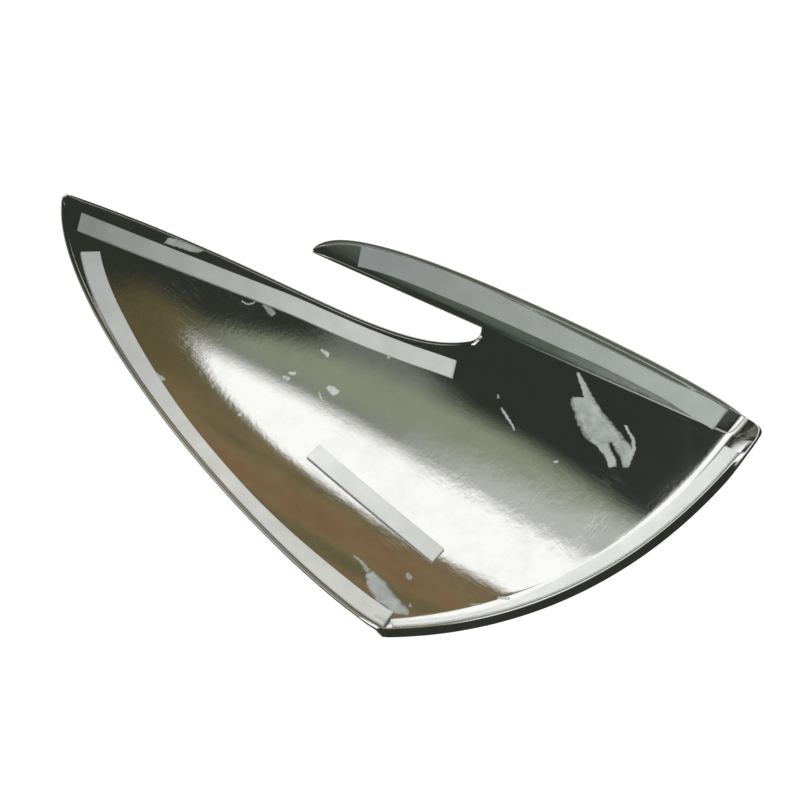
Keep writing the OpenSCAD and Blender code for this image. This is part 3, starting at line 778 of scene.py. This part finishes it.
# the room that the chrome mirrors, and plain soft light on everything else
roomColours = {
    "window": "#ffffff", "haze": "#b2b4b1", "hazeNear": "#7b7e77", "olive": "#878c78",
    "dark": "#2b2e29", "darkSide": "#2b2e28", "brownNear": "#78674a", "brownFar": "#4d462e",
    "brownLow": "#5a5236", "brownRed": "#785d45", "brownGreen": "#5f5a40", "armSide": "#545d55",
    "lipGrey": "#73766f", "cornerPatch": "#6d6c62", "seamGrey": "#6b6d68",
}
roomLight = {"plain": 1.0, "mirrored": 1.06, "seen": 1.0}
# lines across the room by the mirrored direction's rx and ry: the window's far side and foot, the haze
# under it and the ground
roomLines = [
    ("wave", "MULTIPLY_ADD", "noise", 0.04, -0.02), ("ry", "ADD", "ry", "wave"),
    ("bow", "ADD", "rx", 0.16), ("bow", "MULTIPLY", "bow", "bow"),
    ("top", "MULTIPLY_ADD", "bow", -2.2, 0.60),
    ("bow", "ADD", "rx", 0.06), ("bow", "MAXIMUM", "bow", 0.0), ("bow", "MULTIPLY", "bow", "bow"),
    ("top", "MULTIPLY_ADD", "bow", -4.5, "top"), ("belowTop", "SUBTRACT", "top", "ry"),
    ("past", "ADD", "rx", 0.10), ("bow", "MAXIMUM", "past", 0.0),
    ("foot", "MULTIPLY_ADD", "bow", 0.60, 0.325),
    ("bow", "MINIMUM", "past", 0.0), ("foot", "MULTIPLY_ADD", "bow", 0.30, "foot"),
    ("pastFoot", "SUBTRACT", "ry", "foot"),
    ("mistLine", "MULTIPLY_ADD", "rx", 0.80, 0.32), ("pastMist", "SUBTRACT", "ry", "mistLine"),
    ("bow", "ADD", "rx", 0.25), ("bow", "MULTIPLY", "bow", "bow"),
    ("ground", "MULTIPLY_ADD", "bow", 3.0, -0.072),
    ("bow", "MAXIMUM", "rx", 0.0), ("ground", "MULTIPLY_ADD", "bow", 1.2, "ground"),
    ("pastGround", "SUBTRACT", "ry", "ground"),
]
# each row: what it makes, from what below and what above, and where: the product of its fades, each
# from 0 at its first number to 1 at its second
roomLayers = [
    ("mist", "hazeNear", "haze", ("rx", -0.07, -0.27)),
    ("shade", "dark", "seamGrey", ("rx", -0.17, -0.12), ("rx", 0.0, -0.04), ("ry", -0.13, -0.05)),
    ("seen", "shade", "olive", ("pastGround", -0.05, 0.09)),
    ("seen", "seen", "mist", ("pastMist", -0.10, 0.08)),
    ("seen", "seen", "window", ("pastFoot", -0.06, 0.04)),
    ("brown", "brownNear", "brownFar", ("rx", -0.02, 0.12)),
    ("brown", "brown", "brownLow", ("ry", 0.66, 0.50)),
    ("brown", "brown", "brownRed", ("rx", 0.04, -0.06), ("blot", 0.50, 0.72)),
    ("brown", "brown", "brownGreen", ("rx", 0.04, -0.06), ("blot", 0.48, 0.30)),
    ("seen", "brown", "seen", ("belowTop", -0.01, 0.02)),
    ("side", "darkSide", "brown", ("ry", 0.27, 0.40)),
    ("side", "side", "darkSide", ("rx", 0.10, 0.16)),
    ("seen", "seen", "side", ("rx", 0.03, 0.09)),
    ("arm", "armSide", "dark", ("rx", -0.25, -0.30)),
    ("arm", "arm", "lipGrey", ("ry", -0.80, -0.86), ("rx", -0.15, 0.0)),
    ("seen", "seen", "arm", ("ry", -0.60, -0.72)),
    ("seen", "seen", "window", ("rx", -0.37, -0.43), ("ry", -0.78, -0.66)),
    ("patch", "dark", "cornerPatch", ("blot", 0.44, 0.58)),
    ("seen", "seen", "patch", ("rx", -0.76, -0.87), ("ry", -0.05, -0.13)),
    # a faint line in the crease
    ("seen", "seen", "haze", ("ry", -0.64, -0.60), ("ry", -0.52, -0.56), ("rx", -0.10, -0.30)),
]


def makeWorld():
    # a bright window with a soft lower side, brown walls round its far side, and the dark of the room
    # towards the arm, for mirrored rays only
    world = bpy.data.worlds.new("studioRoom")
    bpy.context.scene.world = world
    world.use_nodes = True
    tree = world.node_tree
    tree.nodes.clear()
    ray = addNode(tree, "TexCoord")["Generated"]
    spot = addNode(tree, "SeparateXYZ", [ray])
    known = {name: linear(colour) for name, colour in roomColours.items()}
    known.update(rx=spot["X"], ry=spot["Y"])
    for name, scale, detail in (("noise", 5.0, 3.0), ("blot", 11.0, 2.0)):
        known[name] = addNode(tree, "TexNoise", {"Vector": ray, "Scale": scale, "Detail": detail})[0]
    for name, operation, *values in roomLines:
        values = [known.get(value, value) for value in values]
        known[name] = addNode(tree, "Math", values, operation=operation)[0]
    for name, below, above, *fades in roomLayers:
        share = 1.0
        for value, low, high in fades:
            fade = addNode(tree, "MapRange", [known[value], low, high, 0.0, 1.0],
                           interpolation_type="SMOOTHSTEP")[0]
            share = addNode(tree, "Math", [share, fade], operation="MULTIPLY")[0]
        known[name] = addNode(tree, "Mix", {
            0: share, 6: known[below], 7: known[above]}, data_type="RGBA")[2]
    colours = {"mirrored": known["seen"], "plain": known["window"], "seen": known["window"]}
    lights = {name: addNode(tree, "Background", {"Color": colour, "Strength": roomLight[name]})[0]
              for name, colour in colours.items()}
    paths = addNode(tree, "LightPath")
    mixed = addNode(tree, "MixShader", [paths["Is Glossy Ray"], lights["plain"], lights["mirrored"]])[0]
    mixed = addNode(tree, "MixShader", [paths["Is Camera Ray"], mixed, lights["seen"]])[0]
    addNode(tree, "OutputWorld", {"Surface": mixed})


photoView = {"lens": 84.55, "sensor": 36, "clip": (0.01, 100),
             "place": (0.1240, -0.1517, 0.6053), "target": (0.01415, 0.00522, 0.01556)}


def placeCamera():
    data = bpy.data.cameras.new("photoCamera")
    data.lens, data.sensor_width = photoView["lens"], photoView["sensor"]
    data.clip_start, data.clip_end = photoView["clip"]
    camera = bpy.data.objects.new("photoCamera", data)
    bpy.context.scene.collection.objects.link(camera)
    place, target = Vector(photoView["place"]), Vector(photoView["target"])
    camera.location = place
    camera.rotation_euler = (target - place).to_track_quat("-Z", "Y").to_euler()
    bpy.context.scene.camera = camera


# building

chrome = makeChrome()
foam = makeFoam()
# one liner finish per strip: the same paper, each with two colours of painted light and shade for how that
# strip lies to the light
linersWithPaintedShade = {
    "seam_edge": makeLiner("linerPaperSeamPaintedShade", "#7f847f", "#c6c8c4", -0.115, -0.02),
    "glass_edge": makeLiner("linerPaperGlassPaintedShade", "#acafac", "#d2d2cc", -0.10, -0.03),
    "outer_end": makeLiner("linerPaperEndPaintedShade", "#f3f6f0", "#e9ede7", 0.05, 0.12),
    "arm": makeLiner("linerPaperArmPaintedShade", "#8f9492", "#b2b9b2", -0.02, 0.11),
    "middle": makeLiner("linerPaperMiddlePaintedShade", "#e8eae5", "#d2d4ce", 0.0, 0.055),
}

# where model.glb puts the part: the same strip in both tells
foamTop = layers["bondGap"] + layers["foam"]
linerLow = foamTop + layers["linerGap"]
foamLayer = (layers["bondGap"], foamTop, layers["foamColumns"], layers["foamSoft"])
linerLayer = (linerLow, linerLow + layers["liner"], layers["linerColumns"], layers["linerSoft"])
trial = makeStrip("trial", strips["middle"], *foamLayer, foam)
shift = Vector((np.array(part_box("foam_middle")[0]) - placesOf(trial).min(axis=0)) / metresPerMm)
flatLevel = 0.0
bpy.data.objects.remove(trial)
print("shift", [round(v, 4) for v in shift])

shell = makeShell(chrome)
shell.name = "coverShell"
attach(shell, "root")
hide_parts("cover_shell")
print("shell", len(shell.data.polygons), "faces")

for name, edges in strips.items():
    soft = makeStrip("foamStrip_" + name, edges, *foamLayer, foam)
    paper = makeStrip("linerStrip_" + name, edges, *linerLayer, linersWithPaintedShade[name])
    for piece, node, slotName in ((soft, "foam_" + name, "foam"), (paper, "liner_" + name, "liner")):
        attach(piece, "root")
        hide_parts(node)
print("strips done")


# dried adhesive, and a pale mottled band along the arm: each film by a few pairs of points on its two sides,
# in plan
films = {
    "smearNeck": [(30.9, 49.4, 31.7, 49.9), (34.4, 46.6, 35.7, 48.1), (37.3, 44.2, 39.4, 46.2),
                  (39.0, 42.2, 42.9, 44.5)],
    "smearBody": [(34.5, 42.5, 36.3, 43.3), (34.9, 40.2, 41.1, 44.9), (38.3, 37.6, 47.2, 42.9),
                  (42.1, 34.9, 53.1, 41.0), (45.6, 33.2, 56.2, 39.9), (48.6, 32.7, 57.9, 38.6)],
    "smearLegNear": [(47.5, 33.2, 52.4, 36.4), (52.6, 32.0, 55.5, 34.1), (55.5, 30.6, 58.1, 32.6),
                     (57.5, 28.8, 59.8, 30.5)],
    "smearLegFar": [(52.9, 36.8, 57.3, 39.4), (56.8, 34.5, 61.6, 38.1), (59.2, 33.2, 62.4, 35.9),
                    (61.4, 31.1, 63.3, 32.2)],
    "smearLoop": [(54.0, 43.1, 54.9, 43.6), (56.1, 41.7, 56.8, 42.4), (58.7, 40.2, 59.6, 41.1),
                  (61.2, 37.1, 62.1, 38.0)],
    "cornerTail": [(5.7, -44.0, 6.0, -43.3), (9.2, -44.4, 9.5, -43.3), (13.0, -46.4, 13.4, -44.3)],
    "cornerSmear": [(12.7, -46.6, 13.7, -44.1), (14.9, -49.0, 18.8, -44.6), (17.7, -50.8, 22.9, -46.0),
                    (21.6, -52.0, 27.9, -47.5), (25.6, -52.4, 31.8, -48.5), (28.9, -52.2, 32.3, -50.4)],
    "flake": [(-93.9, -29.6, -93.1, -28.5), (-91.4, -31.3, -91.0, -28.1), (-87.5, -32.6, -87.1, -29.9),
              (-84.0, -33.9, -83.2, -30.8), (-81.4, -34.1, -80.8, -30.7), (-80.2, -33.0, -79.2, -31.2)],
    "edgeSmear": [(-108.9, 6.7, -108.8, 9.4), (-106.0, 7.8, -105.8, 10.9), (-102.8, 9.0, -102.4, 11.9),
                  (-100.1, 9.9, -98.2, 13.0), (-98.1, 11.0, -96.3, 13.2)],
    "scratch": [(16.1, 26.7, 16.5, 27.4), (19.7, 25.0, 20.4, 25.8), (23.1, 23.6, 23.5, 24.2),
                (24.4, 22.8, 24.7, 23.0)],
    "drop": [(-70.3, 9.9, -70.0, 10.6), (-68.7, 9.4, -67.7, 11.0), (-66.9, 8.6, -65.6, 10.9),
             (-65.2, 8.6, -64.7, 10.2)],
    "hook": [(-76.7, 6.6, -76.7, 7.3), (-74.4, 6.9, -74.6, 7.5), (-72.8, 8.5, -73.4, 8.9),
             (-72.6, 9.7, -73.2, 9.9)],
    "spotCorner": [(23.1, -38.3, 23.4, -37.6), (23.9, -39.5, 25.7, -38.1), (25.0, -40.0, 25.8, -39.4)],
    "spotEnd": [(30.1, -46.7, 30.4, -46.0), (30.7, -47.6, 31.5, -47.0)],
    "spotSlot": [(12.8, 29.8, 13.2, 30.4), (13.6, 28.7, 14.2, 29.5)],
    "spotFloor": [(41.0, 21.3, 42.2, 22.5), (41.6, 20.9, 43.0, 21.8)],
    "crumbTop": [(-45.5, 9.0, -45.5, 9.6), (-43.9, 8.4, -43.9, 9.9), (-42.4, 8.2, -42.5, 10.0),
                 (-41.8, 8.4, -41.7, 9.2)],
    "crumbLeft": [(-50.1, -6.6, -50.4, -5.6), (-48.5, -6.5, -49.2, -4.9), (-47.5, -5.6, -48.1, -4.7)],
    "crumbUpper": [(-49.4, -4.1, -49.5, -3.3), (-47.9, -3.9, -48.5, -2.5), (-47.0, -2.8, -47.4, -2.0)],
    "crumbBright": [(-36.2, -0.6, -36.2, 0.6), (-34.3, -1.4, -34.4, 1.6), (-32.6, -1.5, -32.7, 1.5),
                    (-31.7, 0.1, -31.8, 1.3)],
    "crumbStem": [(-37.5, -3.3, -37.1, -2.8), (-36.1, -4.5, -35.7, -3.9), (-34.3, -5.3, -34.1, -4.7)],
    "crumbEdge": [(-25.5, 19.7, -25.6, 20.8), (-24.3, 20.0, -24.6, 21.1)],
    "curlNear": [(-31.0, -7.3, -31.1, -6.0), (-29.9, -6.5, -30.8, -4.9), (-28.1, -7.3, -28.6, -5.5),
                 (-26.5, -6.6, -27.1, -5.3)],
    "curlFar": [(-24.8, -6.7, -24.9, -5.4), (-22.4, -6.6, -22.9, -4.8), (-20.8, -5.4, -21.1, -4.4)],
    "crumbBrown": [(-53.8, -26.4, -54.0, -25.6), (-52.6, -26.3, -52.9, -25.4)],
    "speckEnd": [(51.8, -28.6, 51.7, -27.9), (53.8, -27.5, 53.1, -26.5), (55.7, -26.4, 55.2, -25.6)],
    "speckEndLeft": [(46.1, -35.3, 46.0, -34.5), (47.8, -34.3, 47.4, -33.7), (49.2, -32.9, 48.9, -32.4)],
    "cornerSpot": [(20.2, -51.6, 20.5, -50.9), (21.6, -52.7, 22.2, -51.4), (23.0, -53.5, 23.3, -52.1)],
    "armPaleBand": [(9.0, 52.6, 10.2, 48.9), (21.0, 54.3, 22.4, 50.5), (35.4, 56.3, 36.9, 51.9),
                (49.9, 57.9, 51.2, 53.7), (64.0, 59.5, 65.7, 55.0), (74.0, 60.7, 75.7, 56.1)],
}
filmShape = {
    "stepsPerSpan": 10, "columns": 8, "bottom": 0.004, "top": 0.045, "soft": 0.25,
    "ragged": 0.16, "raggedFrom": 2, "smallMore": 0.12, "small": 3.5,
    # the waves of each ragged side: pace, turn and size
    "leftWaves": ((1.13, 1, 0.6), (2.71, 2, 0.4)), "rightWaves": ((1.37, 3, 0.6), (3.07, 1, 0.4)),
    "seedStep": 1.7, "riseStep": 0.003, "rises": 5,
}


def smoothPath(points, steps):
    # a smooth curve through all the points
    points = np.array([2 * points[0] - points[1], *points, 2 * points[-1] - points[-2]])
    out = []
    for k in range(1, len(points) - 2):
        a, b, c, d = points[k - 1:k + 3]
        for t in np.arange(steps) / steps:
            out.append(0.5 * (2 * b + (c - a) * t + (2 * a - 5 * b + 4 * c - d) * t**2
                              + (3 * b - a - 3 * c + d) * t**3))
    out.append(points[-2])
    return np.array(out)


def makeFilm(name, pairs, seed, rise, material):
    fs = filmShape
    pairs = smoothPath(np.array(pairs, float), fs["stepsPerSpan"])
    left, right = pairs[:, :2], pairs[:, 2:]
    across = right - left
    wide = np.linalg.norm(across, axis=1)
    n = np.arange(len(pairs))
    wobble, other = [sum(np.sin(n * pace + turn * seed) * size for pace, turn, size in fs[waves])
                     for waves in ("leftWaves", "rightWaves")]
    ragged = fs["ragged"] * np.minimum(1, wide / fs["raggedFrom"])
    ragged = ragged + fs["smallMore"] * (wide.max() < fs["small"])
    unit = across / np.maximum(wide, 0.01)[:, None]
    left = left - unit * (wobble * ragged)[:, None]
    right = right + unit * (other * ragged)[:, None]
    soft = min(fs["soft"], wide.mean() * fs["soft"])
    return makeStrip(name, (right, left), fs["bottom"], fs["top"] + rise, fs["columns"], soft, material,
                     True)


residue = makeResidue("driedAdhesiveFilm", "#949c95", "#c0c6bf", 0.85, 420.0)
thinResidue = makeResidue("wornAdhesiveFilm", "#9aa19a", "#bcc2bb", 0.25, 600.0)
crumb = makeResidue("adhesiveCrumb", "#c6c9c4", "#fbfbf9", 0.1, 1300.0)
# a pale mottled film along the arm's face next to the crease, fading in towards +x
haze = makeResidue("paleMottledArmFilm", "#8f968f", "#b3bab2", 0.35, 420.0, (0.045, 0.100))
filmFinish = {"edgeSmear": thinResidue, "drop": thinResidue, "hook": thinResidue, "spotCorner": thinResidue,
              "spotEnd": thinResidue, "spotSlot": thinResidue, "armPaleBand": haze, "cornerTail": thinResidue,
              "speckEndLeft": thinResidue}
for index, (name, pairs) in enumerate(films.items()):
    finish = crumb if name.startswith(("crumb", "curl", "speck", "cornerSpot")) else residue
    film = makeFilm("film_" + name, pairs, index * filmShape["seedStep"],
                    filmShape["riseStep"] * (index % filmShape["rises"]), filmFinish.get(name, finish))
    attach(film, "root")
print("films done")


floorLook = {"half": 3, "drop": 0.0002, "paper": "#f3f3f3", "glow": 0.35}


def makeFloor():
    # plain white paper, a little brighter where the camera or the chrome sees it
    material, tree = startMaterial("paleStudioFloor")
    paths = addNode(tree, "LightPath")
    place = addNode(tree, "TexCoord")["Object"]
    grain = addNode(tree, "TexNoise", {"Vector": place, "Scale": 60.0, "Detail": 3.0})[0]
    bump = addNode(tree, "Bump", {"Height": grain, "Strength": 0.05, "Distance": 0.0002})[0]
    matt = addNode(tree, "BsdfPrincipled", {
        "Base Color": linear(floorLook["paper"]), "Roughness": 0.9, "Normal": bump})[0]
    white = addNode(tree, "Emission", {"Color": linear("#ffffff"), "Strength": floorLook["glow"]})[0]
    both = addNode(tree, "AddShader", [matt, white])[0]
    seen = addNode(tree, "Math", [paths["Is Camera Ray"], paths["Is Glossy Ray"]], operation="MAXIMUM")[0]
    shown = addNode(tree, "MixShader", [seen, matt, both])[0]
    finishMaterial(tree, shown)
    mesh = bpy.data.meshes.new("studioFloor")
    far = floorLook["half"]
    mesh.from_pydata([(-far, -far, 0), (far, -far, 0), (far, far, 0), (-far, far, 0)], [], [(0, 1, 2, 3)])
    mesh.materials.append(material)
    floor = bpy.data.objects.new("studioFloor", mesh)
    floor.location.z = -floorLook["drop"]
    bpy.context.scene.collection.objects.link(floor)


makeWorld()
makeFloor()
placeCamera()
bpy.context.scene.view_settings.view_transform = "Standard"
print("stage done")
